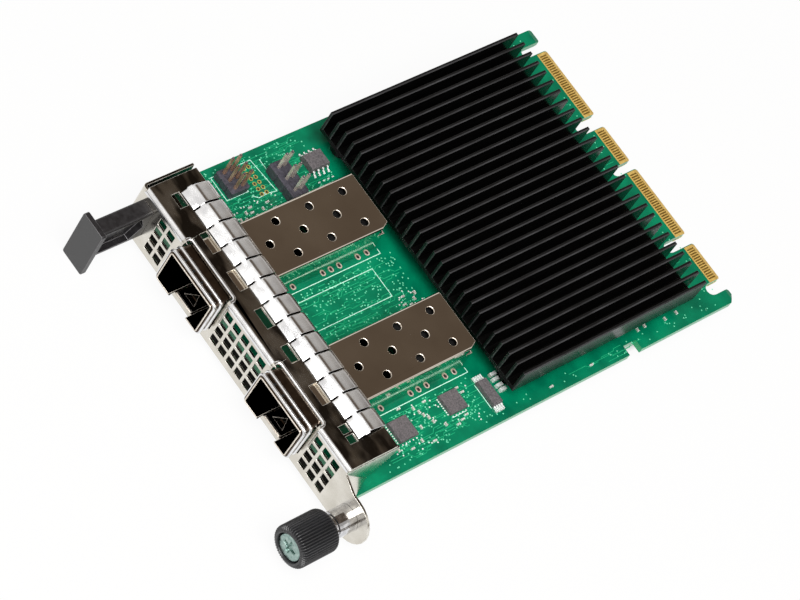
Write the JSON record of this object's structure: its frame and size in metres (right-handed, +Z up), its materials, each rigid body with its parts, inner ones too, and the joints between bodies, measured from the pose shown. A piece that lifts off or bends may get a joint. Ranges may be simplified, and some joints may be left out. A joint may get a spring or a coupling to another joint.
{
  "type": "mezzanine network card",
  "caption": "Server network card: gold card edge, pluggable-module cages behind a folded faceplate, finned heatsink, pull tab and captive thumbscrew.",
  "frame": {"origin": "under the middle of the card's bounding box, at its lowest point", "axes": "+Y from the faceplate to the gold card edge, +Z up from the board's component side, +X towards the thumbscrew"},
  "size_m": [0.0848, 0.1324, 0.0175],
  "materials": {
    "board_green": "solder mask, satin",
    "faceplate_zinc": "zinc plated, satin",
    "spring_steel": "bright",
    "cage_nickel": "nickel plated, semi-bright",
    "black_plastic": "moulded, matte",
    "heatsink_black": "black anodised",
    "chip_epoxy": "moulded epoxy",
    "pad_rubber": "soft, matte",
    "screw_steel": "zinc plated",
    "tab_plastic": "moulded, satin",
    "knob_plastic": "moulded, matte, fine ribs",
    "ferrule_chrome": "bright plated",
    "capacitor_ceramic": "ceramic chip"
  },
  "bodies": {
    "card": {"circuit_board": "board_green", "faceplate": "faceplate_zinc", "finger_strip": "spring_steel", "port_1_cage": "cage_nickel", "port_2_cage": "cage_nickel", "port_1_collar": "spring_steel", "port_2_collar": "spring_steel", "port_1_connector": "black_plastic", "port_2_connector": "black_plastic", "heatsink": "heatsink_black", "controller_chip": "chip_epoxy", "thermal_pad": "pad_rubber", "heatsink_screw_1": "screw_steel", "heatsink_screw_2": "screw_steel", "heatsink_screw_3": "screw_steel", "heatsink_screw_4": "screw_steel", "faceplate_screw_1": "screw_steel", "faceplate_screw_2": "screw_steel", "pull_tab": "tab_plastic", "thumbscrew_ferrule": "ferrule_chrome", "small_pin_header": "black_plastic", "large_pin_header": "black_plastic", "memory_chip": "chip_epoxy", "clock_chip": "chip_epoxy", "regulator_chip_1": "chip_epoxy", "regulator_chip_2": "chip_epoxy", "capacitor_1": "capacitor_ceramic", "capacitor_2": "capacitor_ceramic", "capacitor_3": "capacitor_ceramic", "capacitor_4": "capacitor_ceramic"},
    "spring_carriage": {"thumbscrew_spring": "screw_steel"},
    "thumbscrew": {"thumbscrew_knob": "knob_plastic", "thumbscrew_stud": "screw_steel"}
  },
  "joints": [
    {"name": "thumbscrew_press", "type": "slide", "parent": "card", "child": "spring_carriage", "axis": [0, 1, 0], "range_m": [0, 0.0029], "stiffness_N_per_m": 250, "springref_m": -0.003},
    {"name": "thumbscrew_turn", "type": "hinge", "parent": "spring_carriage", "child": "thumbscrew", "pos_m": [0.03665, -0.0505, 0.0063], "axis": [0, 1, 0], "continuous": true}
  ]
}
